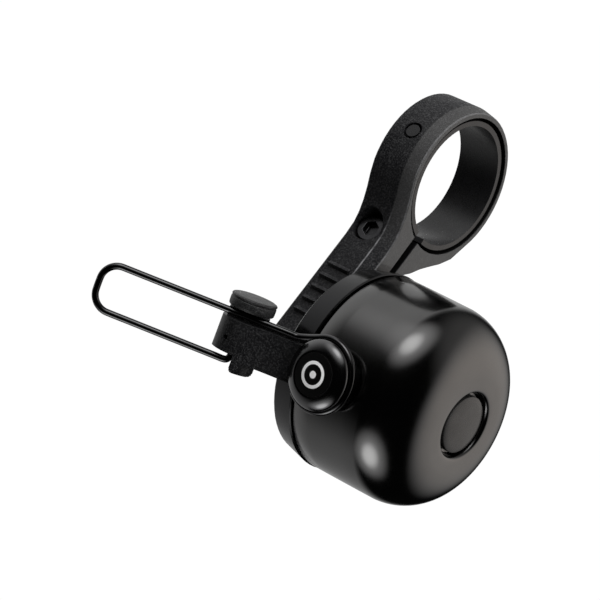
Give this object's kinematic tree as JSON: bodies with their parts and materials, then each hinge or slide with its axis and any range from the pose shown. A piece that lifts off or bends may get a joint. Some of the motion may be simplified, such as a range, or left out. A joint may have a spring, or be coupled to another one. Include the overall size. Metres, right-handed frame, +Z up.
{
  "type": "handlebar bell",
  "caption": "Compact handlebar bell with a split clamp ring, a base disc and deep dome, and a sprung wire lever that swings a round hammer against the dome.",
  "frame": {"origin": "centre of the clamp ring, on the handlebar axis at the middle of the ring's width", "axes": "+X along the handlebar and dome axis towards the dome's closed front; +Z up, parallel to the lever pivot, with the dome below the ring; +Y away from the lever side"},
  "size_m": [0.0551, 0.0661, 0.0664],
  "materials": {
    "clamp_arm": "fine grained moulded black",
    "bar_liner": "satin black liner",
    "clamp_screw": "black socket screw",
    "clamp_insert": "turned brass insert",
    "bell_dome": "glossy black",
    "dome_post": "turned steel",
    "dome_grommet": "soft black rubber",
    "dome_screw": "zinc plated",
    "dome_cap": "satin black",
    "lever_body": "satin black",
    "lever_wire": "black coated wire",
    "striker_pad": "hard black",
    "hammer_cap": "high gloss black",
    "hammer_badge": "matte disc with a plain ring and dot",
    "pivot_pin": "grained matte black head",
    "return_spring": "spring steel"
  },
  "bodies": {
    "clamp": {"clamp_arm": "clamp_arm", "bar_liner": "bar_liner", "clamp_screw": "clamp_screw", "clamp_insert": "clamp_insert", "bell_dome": "bell_dome", "dome_post": "dome_post", "dome_grommet": "dome_grommet", "dome_screw": "dome_screw", "dome_cap": "dome_cap", "pivot_pin": "pivot_pin", "return_spring": "return_spring"},
    "lever": {"lever_body": "lever_body", "lever_wire": "lever_wire", "striker_pad": "striker_pad", "hammer_cap": "hammer_cap", "hammer_badge": "hammer_badge"}
  },
  "joints": [
    {"name": "lever_pivot", "type": "hinge", "parent": "clamp", "child": "lever", "pos_m": [-0.00068, -0.03723, -0.0341], "axis": [0, 0, -1], "range_deg": [-1.3, 22], "stiffness_Nm_per_rad": 0.02, "deforming": ["return_spring"]}
  ]
}
